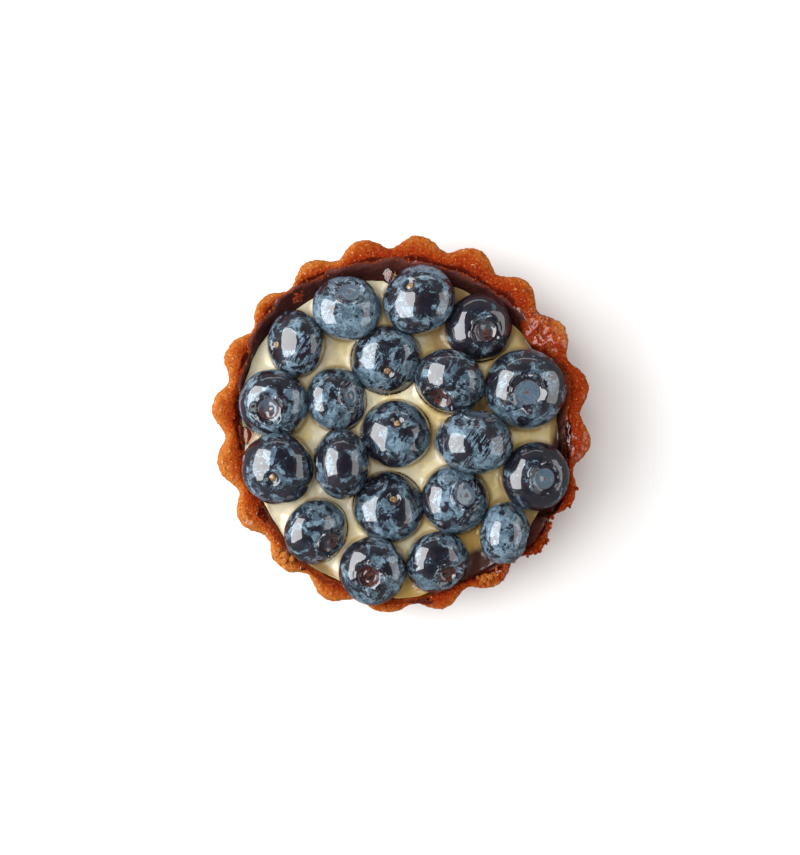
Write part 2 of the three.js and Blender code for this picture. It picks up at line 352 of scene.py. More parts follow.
def addFloor():
    deselectAll()
    bpy.ops.mesh.primitive_plane_add(size=floor["size"])
    piece = bpy.context.object
    piece.name = "paleFloor"
    finish, shader, place = newFinish("paleFloorPaint")
    tint = fade(speckle(place, 3.0), 0.3, 0.7, 0.97, 1.0)
    colour = mixColours(1.0, (*floor["colour"], 1), tint, "MULTIPLY")
    setInputs(shader, {"Base Color": colour, "Roughness": 0.8, "Specular IOR Level": 0.1})
    piece.data.materials.append(finish)
    piece.visible_glossy = False  # so the glaze mirrors no pale floor


# The baked shell, in the frame's own sizes.
shell = {
    "height": 20,
    "rimRadius": 41.7,
    "baseRadius": 36,
    "flutes": 20,
    "fluteDepth": 1.22,
    "fluteRounding": 0.19,
    "firstTip": 12.7,
    "floor": 3.2,
    "innerRadius": 36.2,
    "leastWall": 1.4,
    "wallLean": 0.24,
    "footRounding": 0.9,
    "shoulder": 1.25,  # how far the rim rounds off at its edges
    "puff": 0.42,  # each lobe of the rim swells by this much
    "around": 800,
    "wallRows": 44,
    "rimRows": 26,
    "insideRows": 12,
    "finelyTo": 0.42,  # the path down the inside that has these rows
}
outOfRound = [(2, 0.14, 52), (3, 0.11, 37), (4, 0.26, 81)]  # waves, height, crest
thinSpots = [(16, 13, 2.3), (90, 12, 0.6), (135, 21, 2.7), (166, 14, 0.7), (235, 14, 1.5),
             (266, 21, 3.3), (318, 22, 3.1), (339, 11, 1.6)]  # angle, spread, how much thinner
lowSide = (268, 24, 1.3)
shallowFlutes = (263, 13, 0.35)
wetSpots = [(33, 8, 1.0), (352, 7, 0.7), (327, 8, 0.8), (305, 9, 0.5), (277, 9, 0.6), (214, 5, 0.5),
            (8, 5, 0.4)]
lumpySpot = (33, 7, 1.0)
lumpReach = 2.0  # the lumps bulge inwards by this much
darkBaked = [(91, 8, 0.24), (33, 7, -0.22), (302, 5, -0.15), (55, 20, -0.06), (270, 26, -0.15),
             (175, 26, 0.05), (236, 20, -0.17)]
redInside = (238, 36, 0.05)
# where no dark coat shows at the rim's inner edge
bareSpots = [(16, 12, 0.9), (262, 24, 0.9), (235, 16, 0.6), (208, 22, 0.8), (36, 6, 0.8)]
wetEdges = [(352, 13, 1.0), (229, 26, 0.70), (275, 12, 0.6)]
brokenEdges = [(322, 16, 1.0), (228, 9, 0.8), (292, 10, 0.6), (355, 9, 0.7)]
brokenAway = 0.35  # how much of the edge is missing there
cream = {
    "level": 16.9,
    "slope": -0.05,
    "doming": 0.0009,
    "ripple": 0.22,
    "edgeRadius": 35,
    "edgeShift": 2.4,
    "edgeTowards": 245,
    "around": 560,
    "rows": 132,
    "bottom": 3.5,
    "underCoat": 1.05,  # how far the bed runs out under the coat
}
creamEdgeSpots = [(95, 14, -1.1), (150, 14, 1.0), (270, 15, 2.0)]
lining = {
    "thickness": 0.8,
    "gap": 0.3,
    "topBelowRim": 1.1,
    "leastSlant": 1,
    "around": 560,
    "rows": 34,
    "downTo": 0.40,  # its lower edge, as a path on the shell's skin
    "dip": 0.30,  # how deep its upper edge goes into the shell
    "proud": 0.28,
    "runs": 0.22,
    "drawn": 0.5,  # the thickness that is drawn
}


def near(angle, *spots):
    return sum(height * np.exp(-((((angle - middle + 180) % 360 - 180) / spread) ** 2))
               for middle, spread, height, *_ in spots)


def outerRadius(angle, z):
    share = z / shell["height"]
    turn = np.radians(shell["flutes"] * (angle - shell["firstTip"]))
    lobe = shell["fluteDepth"] * np.cos(turn) - shell["fluteRounding"] * np.cos(2 * turn)
    drift = sum(size * np.cos(np.radians(waves * (angle - crest))) for waves, size, crest in outOfRound)
    mean = lerp(shell["baseRadius"], shell["rimRadius"], share)
    return mean + lobe * (1 - near(angle, shallowFlutes)) * lerp(0.75, 1, share) + drift


def rimHeight(angle):
    uneven = 0.25 * np.sin(np.radians(3 * angle + 40)) + 0.2 * np.sin(np.radians(7 * angle))
    return shell["height"] + uneven - near(angle, lowSide)


def rimInner(angle):
    wanted = shell["innerRadius"] + near(angle, *thinSpots)
    return np.minimum(wanted, outerRadius(angle, shell["height"]) - shell["leastWall"])


def creamTop(x, y):
    ripple = np.sin(0.31 * x + 0.12 * y) + np.sin(0.27 * y - 0.16 * x + 1)
    bed = cream["level"] + cream["slope"] * y - cream["doming"] * (x * x + y * y)
    return bed + cream["ripple"] * ripple


def creamEdge(angle):
    shifted = cream["edgeRadius"] + cream["edgeShift"] * np.cos(np.radians(angle - cream["edgeTowards"]))
    room = rimInner(angle) - 2 * lining["gap"] - 1.2 * lining["thickness"]
    return np.minimum(shifted + near(angle, *creamEdgeSpots), room)


def creamEdgeHeight(angle):
    turn = np.radians(angle)
    return creamTop(creamEdge(angle) * np.cos(turn), creamEdge(angle) * np.sin(turn))


def bendHeight(angle):
    highest = rimHeight(angle) - lining["topBelowRim"] - lining["leastSlant"]
    return np.minimum(creamEdgeHeight(angle) - 0.4, highest)


def wallInner(angle, z):
    atBend = creamEdge(angle) + lining["thickness"] + 2 * lining["gap"]
    bend = bendHeight(angle)
    share = (z - bend) / (rimHeight(angle) - lining["topBelowRim"] - bend)
    slant = lerp(atBend, rimInner(angle), np.clip(share, 0, 1))
    return np.where(z <= bend, atBend - shell["wallLean"] * (bend - z), slant)


# Radius and height on the shell's skin. The path runs from -2 at the foot up the outside to -1,
# over the rim to 0, and down the inside to 1 at the floor.
def shellSkin(path, angle):
    top = rimHeight(angle)
    turn = np.radians(shell["flutes"] * (angle - shell["firstTip"]))
    share = np.clip(-path, 0, 1)
    crest = top - shell["shoulder"] * np.abs(2 * share - 1) ** 2.4 + shell["puff"] * np.cos(turn) * share
    rise = (path + 2) * (top - shell["shoulder"] + shell["puff"] * np.cos(turn))
    drop = lerp(top - shell["shoulder"], shell["floor"], np.clip(path, 0, 1))
    z = np.where(path < -1, rise, np.where(path < 0, crest, drop))
    foot = shell["footRounding"] * np.clip(1 - z / shell["footRounding"], 0, 1) ** 2
    outside = outerRadius(angle, z) - foot
    rim = lerp(rimInner(angle), outerRadius(angle, z), share)
    inside = wallInner(angle, z)
    return np.where(path < -1, outside, np.where(path < 0, rim, inside)), z


# Points lifted off the shell's skin, square to it.
def liftOffSkin(path, angle, lift):
    step = 0.01
    radius, height = shellSkin(path, angle)
    onRadius, onHeight = shellSkin(path + step, angle)
    length = np.maximum(np.hypot(onRadius - radius, onHeight - height), 1e-6)
    out, up = -(height - onHeight) / length, (radius - onRadius) / length
    return fromPolar(angle, radius + lift * out, height + lift * up)


# Relief: size, strength, where, and then depth and kind of noise.
shellRelief = [(2.4, 0.45, "rimTop"), (2.2, 1.9, "lumpy", 1), (0.9, 0.50, "crumbly", 3),
               (0.5, 0.26, "rimTop", 1, "VORONOI_F1")]
liningRelief = [(3.5, 0.4, "", 1), (1.1, 0.34, "", 3)]
creamRelief = [(3.0, 0.55, "topSide", 1), (1.2, 0.14, "topSide", 1)]
grainRelief = [(0.9, 0.9), (0.35, 0.25)]


def modelShell():
    wall = np.linspace(-2, -1, shell["wallRows"], endpoint=False)
    rim = np.linspace(-1, 0, shell["rimRows"], endpoint=False)
    inside = np.linspace(0, shell["finelyTo"], shell["insideRows"])
    paths = np.concatenate([wall, rim, inside, [1.0]])
    rings = [tuple(float(v) for v in shellSkin(path, 0.0)) for path in paths]
    piece = stackRings(shell["around"], rings, closed=True)
    path = paths[ringNumbers(piece, rings)]
    angle, _ = polar(readPlaces(piece))
    radius, height = shellSkin(path, angle)
    baked = ramp(path, -2, -1.94) * ramp(path, 0.25, 0.15)
    broken = np.clip(near(angle, *brokenEdges), 0, 1)
    # the outline wanders a little, and crumbles where the edge broke
    wander = waver(angle, (0.22, 46, 3), (0.20, 300, 5)) + broken * waver(angle, (0.5, 80, 7))
    high = ramp(path, -1.25, -1) * ramp(path, 0, -0.625)
    radius = radius + (wander - brokenAway * broken) * high
    radius = radius - lumpReach * near(angle, lumpySpot) * np.exp(-((path - 0.02) / 0.16) ** 2)
    writePlaces(piece, fromPolar(angle, radius, height))
    darker = near(angle, *darkBaked)
    darker = darker + near(angle, redInside) * np.clip(1 + 1.7 * path, 0, 1)
    store(piece, "bakedShare", np.clip(-path, 0, 1) - darker)
    bare = np.clip(near(angle, *bareSpots), 0, 1)
    store(piece, "stainShare", ramp(path, -0.5, 0) * (1 - bare))
    onRim = ramp(path, -1.1, -0.8) * ramp(path, 0.3, 0.1)
    wet = onRim * np.clip(near(angle, *wetSpots), 0, 1)
    shoulder = np.clip(1 - np.abs(path + 0.14) / 0.26, 0, 1) * near(angle, *wetEdges)
    store(piece, "wetShare", np.maximum(wet, 1.3 * shoulder))
    smooth = 1 - 0.8 * near(angle, lumpySpot)
    weightGroup(piece, "crumbly", baked * (0.6 + 0.2 * broken) * smooth)
    weightGroup(piece, "rimTop", baked * ramp(path, -1.3, -1) * smooth)
    weightGroup(piece, "lumpy", baked * near(angle, lumpySpot) * ramp(path, -1.1, -0.9))
    roughen(piece, shellRelief)
    return piece


crustColours = {
    "sugar": (0.680, 0.340, 0.1400, 1),
    "pale": (0.425, 0.134, 0.0230, 1),
    "golden": (0.320, 0.053, 0.0055, 1),
    "brown": (0.245, 0.0200, 0.0030, 1),
    "dark": (0.058, 0.0038, 0.0016, 1),
}


def finishCrust():
    finish, shader, place = newFinish("bakedShortcrust")
    baked = attribute(shader, "bakedShare")
    x, y, z = split(place)
    broad = speckle(place, 110.0, 3)
    sand = speckle(place, 950.0, 3, 0.6)
    grain = speckle(place, 2300.0, 3, 0.7)
    # paler towards the outer edge, partly the crust's own redder inner edge and partly painted light where
    # the outer edges of the lobes catch it, and painted lighter on the side towards the light
    tone = timesPlus(baked, 1.05, times(x, -6.5))
    tone = timesPlus(y, 1.0, minus(tone, 0.08))
    tone = timesPlus(broad, 0.9, tone)
    tone = timesPlus(sand, 0.9, tone)
    colour = mixColours(fade(tone, 1.15, 1.60), crustColours["brown"], crustColours["golden"])
    colour = mixColours(fade(tone, 1.50, 1.95), colour, crustColours["pale"])
    colour = mixColours(fade(tone, 0.75, 0.35, 0, 0.7), colour, crustColours["dark"])
    paler = mixColours(fade(tone, 1.2, 2.0), crustColours["golden"], crustColours["pale"])
    colour = mixColours(fade(grain, 0.52, 0.62, 0, 1.0), colour, paler)
    sugar = timesPlus(baked, 0.06, speckle(place, 1750.0, 2))
    sugar = fade(sugar, 0.66, 0.72)
    colour = mixColours(times(sugar, 0.6), colour, crustColours["sugar"])
    pits = mixColours(fade(tone, 0.8, 1.4), crustColours["dark"], crustColours["brown"])
    colour = mixColours(fade(grain, 0.47, 0.36, 0, 0.70), colour, pits)
    stained = timesPlus(speckle(place, 420.0, 4), 0.9, attribute(shader, "stainShare"))
    colour = mixColours(fade(stained, 0.85, 1.15, 0, 0.92), colour, crustColours["dark"])
    # glaze: patches on the right-hand side, and single wet grains
    patches = timesPlus(speckle(place, 330.0, 3), 0.9, attribute(shader, "wetShare"))
    wet = fade(patches, 0.86, 0.96)
    glints = times(fade(speckle(place, 1300.0, 1), 0.66, 0.70), fade(z, 0.0165, 0.0185))
    height = timesPlus(sand, 1.6, grain)
    lumps = timesPlus(sand, 0.12, speckle(place, 340.0, 1, 0.4))
    setInputs(shader, {
        "Base Color": colour,
        "Roughness": 0.85,
        "Specular IOR Level": 0.06,
        "Normal": bump(height, 1.0, 0.0006),
        "Coat Weight": calculate("MAXIMUM", wet, glints),
        "Coat Roughness": 0.05,
        "Coat IOR": 1.5,
        "Coat Normal": bump(lumps, 0.85, 0.0014),
    })
    return finish


# Where the dark coat runs out over the rim between two lobes: angle, spread, share of the rim.
smearedOver = [(118, 9, 0.35), (142, 20, 0.60), (95, 8, 0.30), (46, 12, 0.25)]


# The dark coat inside the shell. It follows the shell's skin, and its upper edge is ragged.
def modelLining():
    rows = np.linspace(0, 1, lining["rows"])
    # the rings only tell the rows apart, as every vertex is moved onto the skin below
    rings = [(40 - 8 * row, 20 - 8 * row) for row in rows]
    piece = stackRings(lining["around"], rings, closed=False)
    row = rows[ringNumbers(piece, rings)]
    angle, _ = polar(readPlaces(piece))
    smear = 0.10 + waver(angle, (0.14, 18, 21), (0.12, 60, 5))
    betweenLobes = 0.5 - 0.5 * np.cos(np.radians(shell["flutes"] * (angle - shell["firstTip"])))
    smear = smear + near(angle, *smearedOver) * betweenLobes
    start = -np.clip(smear, -0.02, 0.72)
    path = lerp(start, lining["downTo"], row)
    # it dips into the shell at its upper edge, and comes out in uneven runs
    out = ramp(row, 0, 0.3)
    run = 0.5 + waver(angle, (0.5, 90, 9), (0.25, 34, 2))
    lift = lerp(-lining["dip"], lining["proud"], out ** 0.7) + lining["runs"] * run * out
    writePlaces(piece, liftOffSkin(path, angle, lift))
    store(piece, "depth", row)
    bare = 0.28 * np.clip(near(angle, *bareSpots), 0, 1)
    store(piece, "bareShare", np.maximum(bare, 1.1 * near(angle, lumpySpot)))
    side = 1.0 if isInsideOut(piece) else -1.0
    applyModifier(piece, "SOLIDIFY", thickness=lining["drawn"], offset=side)
    selectOnly(piece)
    bpy.ops.object.mode_set(mode="EDIT")
    bpy.ops.mesh.select_all(action="SELECT")
    bpy.ops.mesh.normals_make_consistent(inside=False)
    bpy.ops.object.mode_set(mode="OBJECT")
    roughen(piece, liningRelief)
    return piece


# True if the faces of an open ring strip look away from its axis.
def isInsideOut(piece):
    return sum(face.center.x * face.normal.x + face.center.y * face.normal.y
               for face in piece.data.polygons) > 0


liningColours = {
    "dark": (0.052, 0.0145, 0.0130, 1),
    "brown": (0.112, 0.0340, 0.0270, 1),
    "baked": (0.130, 0.0170, 0.0050, 1),
}


def finishLining():
    finish, shader, place = newFinish("darkChocolate")
    x = split(place)[0]
    depth = attribute(shader, "depth")
    smears = speckle(place, 230.0, 4, 0.6, 0.8)
    share = minus(times(smears, 1.2), depth)
    colour = mixColours(fade(share, 0.05, 0.65), liningColours["dark"], liningColours["brown"])
    # crumbs show through near its upper edge, and all the way down where it is thinnest
    thin = minus(attribute(shader, "bareShare"), depth)
    thin = timesPlus(speckle(place, 480.0, 5, 0.65), 1.1, thin)
    thin = fade(thin, 0.33, 0.56, 0, 0.95)
    grain = speckle(place, 2300.0, 3, 0.7)
    crumb = mixColours(fade(grain, 0.40, 0.62), liningColours["baked"], crustColours["golden"])
    colour = mixColours(thin, colour, crumb)
    patches = timesPlus(speckle(place, 140.0, 2), 1.5, times(x, 4.0))
    height = timesPlus(speckle(place, 700.0, 3), 1.0, times(grain, thin))
    wet = times(fade(patches, 0.68, 0.84), fade(depth, 0.55, 0.30))
    setInputs(shader, {
        "Base Color": colour,
        "Roughness": 0.65,
        "Specular IOR Level": 0.08,
        "Normal": bump(height, 0.8, 0.0006),
        "Coat Weight": wet,
        "Coat Roughness": 0.06,
        "Coat IOR": 1.5,
        "Coat Normal": bump(speckle(place, 380.0, 2), 0.5, 0.0010),
    })
    return finish


# Every berry as the frame holds it: radius round the equator, the end that shows, how far that
# end leans from straight up and which way; then how much bloom it kept, how deep and russet its
# cup is, and how much of it is rubbed in streaks.
berries = {
    "blueberry_01": (7.45, "calyx", 18, -35, 0.18, 0.55, 0.1),
    "blueberry_02": (7.75, "stem", 27, 274, 0.54, 0.0, 1.0),
    "blueberry_03": (6.85, "calyx", 85, -10, 0.62, 0.3, 0.2),
    "blueberry_04": (7.50, "calyx", 17, -13, 0.19, 0.0, 0.0),
    "blueberry_05": (7.05, "calyx", 42, -49, 0.48, 0.8, 0.1),
    "blueberry_06": (7.80, "stem", 22, 61, 0.39, 0.0, 0.2),
    "blueberry_07": (7.90, "stem", 20, 247, 0.31, 0.0, 0.1),
    "blueberry_08": (7.20, "stem", 55, 185, 0.50, 0.0, 0.7),
    "blueberry_09": (8.80, "calyx", 8, 273, 0.43, 0.0, 0.1),
    "blueberry_10": (7.60, "stem", 27, 85, 0.38, 0.0, 0.2),
    "blueberry_11": (7.05, "calyx", 41, 13, 0.50, 0.2, 0.2),
    "blueberry_12": (7.30, "calyx", 48, -35, 0.48, 0.45, 0.3),
    "blueberry_13": (7.55, "calyx", 84, 182, 0.38, 0.3, 0.6),
    "blueberry_14": (7.60, "calyx", 15, 234, 0.46, 0.4, 0.1),
    "blueberry_15": (7.50, "calyx", 37, 78, 0.60, 0.1, 0.1),
    "blueberry_16": (7.95, "stem", 37, 127, 0.50, 0.0, 0.3),
    "blueberry_17": (7.75, "calyx", 50, 239, 0.46, 0.9, 0.2),
    "blueberry_18": (8.40, "calyx", 75, 84, 0.55, 0.3, 0.6),
    "blueberry_19": (7.55, "calyx", 27, 28, 0.48, 0.1, 0.2),
    "blueberry_20": (7.35, "calyx", 13, 231, 0.42, 1.0, 0.1),
}
# The crown and the stem's pit are drawn as rings of radius and height on a berry of radius 1.
berry = {
    "flatness": 0.79,
    "glazed": 1.04,  # the glaze makes each berry this much wider
    "segments": 64,
    "rings": 40,
    "footAngle": 26,
    "foot": (0.454, 0.891),
    "crown": [(0.452, 0.905), (0.447, 0.934), (0.434, 0.954), (0.414, 0.956), (0.392, 0.944),
              (0.362, 0.925), (0.332, 0.907), (0.308, 0.893), (0.290, 0.887), (0.240, 0.886),
              (0.150, 0.894), (0.050, 0.888), (0.022, 0.870)],
    "crest": 0.424,
    "crestSpread": 0.042,
    "cupRadius": 0.285,
    "cupDepth": 0.17,
    "lobes": 5,
    "lobeHeight": 0.14,
    "lobeFlare": 0.14,
    "pitAngle": 15,
    "pitEdge": (0.233, -0.972),
    "pit": [(0.205, -0.968), (0.172, -0.940), (0.138, -0.895), (0.110, -0.868), (0.092, -0.862),
            (0.085, -0.885), (0.050, -0.888), (0.020, -0.900)],
    "uneven": 0.030,
}


def pickFaces(piece, wanted):
    mesh = bmesh.from_edit_mesh(piece.data)
    for face in mesh.faces:
        face.select_set(wanted(face.calc_center_median()))
    bmesh.update_edit_mesh(piece.data)


# One berry of radius 1 with its calyx at +Z, from a sphere.
def modelBerry():
    piece = addBall(berry["segments"], berry["rings"])
    bpy.ops.object.mode_set(mode="EDIT")
    bpy.ops.mesh.select_mode(type="FACE")
    bpy.ops.mesh.select_all(action="DESELECT")
    capHeight = math.cos(math.radians(berry["footAngle"]))
    pickFaces(piece, lambda centre: centre.z > capHeight)
    bpy.ops.mesh.dissolve_faces()
    extrudeRings([berry["foot"], *berry["crown"]])
    pitHeight = -math.cos(math.radians(berry["pitAngle"]))
    bpy.ops.mesh.select_all(action="DESELECT")
    pickFaces(piece, lambda centre: centre.z < pitHeight)
    bpy.ops.mesh.dissolve_faces()
    extrudeRings([berry["pitEdge"], *berry["pit"]])
    bpy.ops.mesh.select_all(action="SELECT")
    bpy.ops.transform.resize(value=(1, 1, berry["flatness"]), center_override=(0, 0, 0))
    bpy.ops.object.mode_set(mode="OBJECT")
    applyModifier(piece, "SUBSURF", levels=1, render_levels=1)
    return piece


# Where a berry's calyx points, and its middle in millimetres: its box's, less what the crown adds.
def lieOf(node):
    radius, end, lean, towards, *_ = berries[node]
    axis = leaning(lean, towards) * (1 if end == "calyx" else -1)
    low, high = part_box(node)
    return axis, (Vector(low) + Vector(high)) / (2 * mm) - 0.03 * berry["flatness"] * radius * axis


# A glazed berry as a squashed ball: its middle, its half width, and the matrix that gives 1 for
# every point on its skin.
def formOf(node):
    axis, middle = lieOf(node)
    wide = berries[node][0] * berry["glazed"]
    along = np.outer(axis, axis)
    return middle, wide, (np.eye(3) - along) / wide ** 2 + along / (wide * berry["flatness"]) ** 2


# Five uneven lobes on the crown, folded outwards, and a cup of its own depth.
def shapeCrown(places, cup, shift, share):
    radial = np.hypot(places[:, 0], places[:, 1])
    onTop = places[:, 2] > 0
    crest = np.exp(-((radial - berry["crest"]) / berry["crestSpread"]) ** 2) * onTop
    turn = np.arctan2(places[:, 1], places[:, 0])
    circle = np.stack([np.cos(turn), np.sin(turn), np.zeros_like(turn)], axis=1)
    ragged = noiseAt(1.3 * circle + shift) + 0.3 * noiseAt(4 * circle + (0, 0, 3) + shift)
    lobe = np.clip(0.62 + 0.85 * np.cos(berry["lobes"] * turn), 0, 1) ** 0.8 * (1 + 1.5 * ragged)
    places[:, 2] += berry["flatness"] * berry["lobeHeight"] * crest * (share * lobe - 0.40)
    flare = 1 + share * berry["lobeFlare"] * crest * (lobe - 0.2)
    places[:, 0] *= flare
    places[:, 1] *= flare
    floorNoise = noiseAt(4.5 * places + shift)
    sink = ramp(radial, berry["cupRadius"] + 0.02, berry["cupRadius"] - 0.08) * onTop
    places[:, 2] += sink * (0.025 * floorNoise - cup * berry["cupDepth"] * (1 + 0.9 * floorNoise))


def placeBerry(model, node, number):
    radius, end, lean, _, bloom, cup, streaks = berries[node]
    draw = random.Random(100 + number)
    piece = model.copy()
    piece.data = model.data.copy()
    scene.collection.objects.link(piece)
    places = readPlaces(piece)
    store(piece, "ownPlace", places)
    store(piece, "ownDraw", np.tile([draw.uniform(0, 40) for _ in range(3)], (len(places), 1)))
    store(piece, "ownLook", np.tile([bloom, cup, streaks], (len(places), 1)))
    shift = np.array([draw.uniform(0, 50) for _ in range(3)])
    lobes = 0.0 if end == "stem" else 0.25 if lean > 70 else 0.6 if lean > 35 else 1.0
    shapeCrown(places, cup, shift, lobes)
    # no berry is quite round
    swell = noiseAt(1.1 * places + shift) + 0.35 * noiseAt(2.9 * places + shift)
    places *= (1 + berry["uneven"] * swell)[:, None]
    writePlaces(piece, places)
    axis, middle = lieOf(node)
    spin = Matrix.Rotation(draw.uniform(0, 2 * math.pi), 4, "Z")
    lay = axis.to_track_quat("Z", "Y").to_matrix().to_4x4()
    grow = Matrix.Scale(radius * berry["glazed"], 4)
    piece.data.transform(Matrix.Translation(middle) @ lay @ spin @ grow)
    return piece


skinColours = {
    "bare": (0.0075, 0.0070, 0.0120, 1),
    "plum": (0.024, 0.0110, 0.0165, 1),
    "thin": (0.019, 0.028, 0.041, 1),
    "bloom": (0.052, 0.086, 0.118, 1),
    "frost": (0.156, 0.238, 0.300, 1),
    "disc": (0.055, 0.083, 0.112, 1),
    "russet": (0.170, 0.042, 0.016, 1),
    "cup": (0.092, 0.0300, 0.0210, 1),
    "straw": (0.330, 0.215, 0.075, 1),
    "olive": (0.075, 0.060, 0.022, 1),
}


def finishSkin():
    finish, shader, place = newFinish("glazedBerrySkin")
    own = attribute(shader, "ownPlace", "Vector")
    drawn = attribute(shader, "ownDraw", "Vector")
    kept, cup, streaks = split(attribute(shader, "ownLook", "Vector"))
    spot = addNode("ShaderNodeVectorMath", {0: own, 1: drawn}, operation="ADD").outputs[0]
    x, y, z = split(own)
    radial = calculate("SQRT", timesPlus(x, x, times(y, y)))
    patches = speckle(spot, 1.45, 6, 0.60, 1.3)
    mottle = speckle(spot, 7.0, 6, 0.72, 0.5)
    grain = speckle(spot, 38.0, 3, 0.6)
    # bloom stays where the berry wasn't touched, and is rubbed off in streaks
    amount = timesPlus(patches, 1.12, times(mottle, 0.46))
    amount = timesPlus(kept, 0.34, minus(amount, 0.115))
    amount = timesPlus(grain, 0.10, amount)
    strokes = speckle(stretched(place, (0.0036, 0.00042, 0.003), (0, 0, 1.02)), 1.0, 3, 0.55, 0.2)
    rubbed = times(fade(strokes, 0.49, 0.55), streaks)
    rubbed = times(rubbed, fade(speckle(spot, 1.3, 2), 0.50, 0.56))
    amount = timesPlus(rubbed, -0.3, amount)
    bare = mixColours(fade(speckle(spot, 2.4, 3), 0.54, 0.70), skinColours["bare"], skinColours["plum"])
    colour = mixColours(fade(amount, 0.76, 0.92, 0, 0.8), bare, skinColours["thin"])
    frosty = timesPlus(kept, 0.12, speckle(spot, 4.2, 6, 0.74, 0.8))
    dusted = mixColours(fade(frosty, 0.50, 0.64), skinColours["bloom"], skinColours["frost"])
    bloom = fade(amount, 0.875, 0.905)
    bloom = times(bloom, fade(grain, 0.30, 0.50, 0.35, 1.0))
    # fine dark cracks in the bloom
    ridge = calculate("ABSOLUTE", minus(speckle(spot, 3.1, 4, 0.6, 1.4), 0.5))
    crack = times(fade(ridge, 0.016, 0.006), fade(mottle, 0.46, 0.54))
    bloom = times(bloom, timesPlus(crack, -0.85, 1.0))
    colour = mixColours(bloom, colour, dusted)
    # the calyx: painted shade round its foot, where the raised crown shades the skin, a grey disc or a
    # russet cup, and a russet edge and dot
    onTop = fade(z, 0.3, 0.4)
    # painted shade: bare dark skin round the crown
    foot = times(fade(radial, 0.50, 0.46), onTop)
    foot = times(foot, fade(mottle, 0.54, 0.44))
    colour = mixColours(foot, colour, bare)
    inside = times(fade(radial, 0.305, 0.285), onTop)
    # a hollow cup is russet in streaks and dusty in parts
    fibres = speckle(spot, 9.0, 4, 0.6, 2.0)
    hollow = fade(plus(cup, speckle(spot, 2.6, 2)), 0.78, 1.12)
    inner = mixColours(fade(fibres, 0.42, 0.58), skinColours["bare"], skinColours["cup"])
    dusty = mixColours(fade(grain, 0.40, 0.65, 0, 0.35), skinColours["disc"], skinColours["frost"])
    lined = mixColours(hollow, dusty, inner)
    colour = mixColours(times(inside, 0.95), colour, lined)
    line = times(fade(radial, 0.280, 0.287), fade(radial, 0.301, 0.294))
    line = times(line, onTop)
    line = times(line, fade(mottle, 0.46, 0.54))
    colour = mixColours(times(line, 0.75), colour, skinColours["russet"])
    dot = times(fade(radial, 0.042, 0.026), onTop)
    colour = mixColours(dot, colour, skinColours["russet"])
    # the stem's scar: straw, olive and russet in a dark dimple
    under = fade(z, -0.3, -0.4)
    dimple = times(under, fade(radial, 0.21, 0.15, 0, 0.8))
    colour = mixColours(dimple, colour, bare)
    scar = times(under, fade(radial, 0.094, 0.084))
    pith = speckle(spot, 22.0, 2)
    scarColour = mixColours(fade(pith, 0.44, 0.60), skinColours["olive"], skinColours["straw"])
    scarColour = mixColours(fade(pith, 0.48, 0.36), scarColour, skinColours["russet"])
    colour = mixColours(scar, colour, scarColour)
    setInputs(shader, {
        "Base Color": colour,
        "Roughness": fade(bloom, 0.0, 1.0, 0.35, 0.65),
        "Specular IOR Level": 0.12,
        "Normal": bump(timesPlus(mottle, 1.5, grain), 0.10, 0.0006),
        "Coat Weight": 1.0,
        "Coat Roughness": 0.03,
        "Coat IOR": 1.8,
        "Coat Normal": bump(speckle(spot, 2.4, 2, 0.5), 0.05, 0.0015),
    })
    return finish


# The cream bed, with hollows where the berries press in, a rising edge of glaze round each
# berry, and the ridges that the spoon left.
ridges = [
    {"centre": (0.0, -1.5), "radius": 12.6, "fromAngle": -40, "toAngle": 75, "height": 0.8, "width": 1.3},
    {"centre": (-13.0, 15.0), "radius": 5.5, "fromAngle": 200, "toAngle": 330, "height": 0.6, "width": 1.0},
    {"centre": (-24.0, -20.0), "radius": 7.0, "fromAngle": 90, "toAngle": 200, "height": 0.6, "width": 1.0},
    {"centre": (2.0, -26.0), "radius": 6.0, "fromAngle": 60, "toAngle": 170, "height": 0.5, "width": 1.1},
]
creamEdging = {"reach": 1.15, "rise": 0.85, "shade": 1.6, "hollowGap": 0.05, "lip": 0.5, "lift": 0.5,
               "lipReach": 0.6}
# angle, spread, share, from radius, and over how far it sets in. Most are stains of syrup and coat by the
# rim; the last two are painted shade in shadowed gaps where berries touch
stainsAndShade = [(304, 16, 1.5, 31.5, 3.5), (352, 14, 0.8, 33, 2), (28, 12, 0.9, 31.5, 3), (238, 20, 0.4, 35, 1.5),
          (66, 10, 0.39, 15, 4), (13.5, 7, 0.45, 14, 4)]
ambers = [(279, 14, 1.2, 27, 6), (306, 20, 1.0, 25, 5), (20, 20, 0.5, 24, 6), (236, 24, 0.4, 34.4, 1.5)]


def ridgeHeights(x, y):
    total = np.zeros_like(x)
    for ridge in ridges:
        fromX, fromY = x - ridge["centre"][0], y - ridge["centre"][1]
        away = (np.hypot(fromX, fromY) - ridge["radius"]) / ridge["width"]
        middle = 0.5 * (ridge["fromAngle"] + ridge["toAngle"])
        half = 0.5 * (ridge["toAngle"] - ridge["fromAngle"])
        turn = (np.degrees(np.arctan2(fromY, fromX)) - middle + 180) % 360 - 180
        ends = np.clip((1 - np.abs(turn) / half) * 3, 0, 1)
        total += ridge["height"] * np.exp(-away ** 2) * ends
    return total


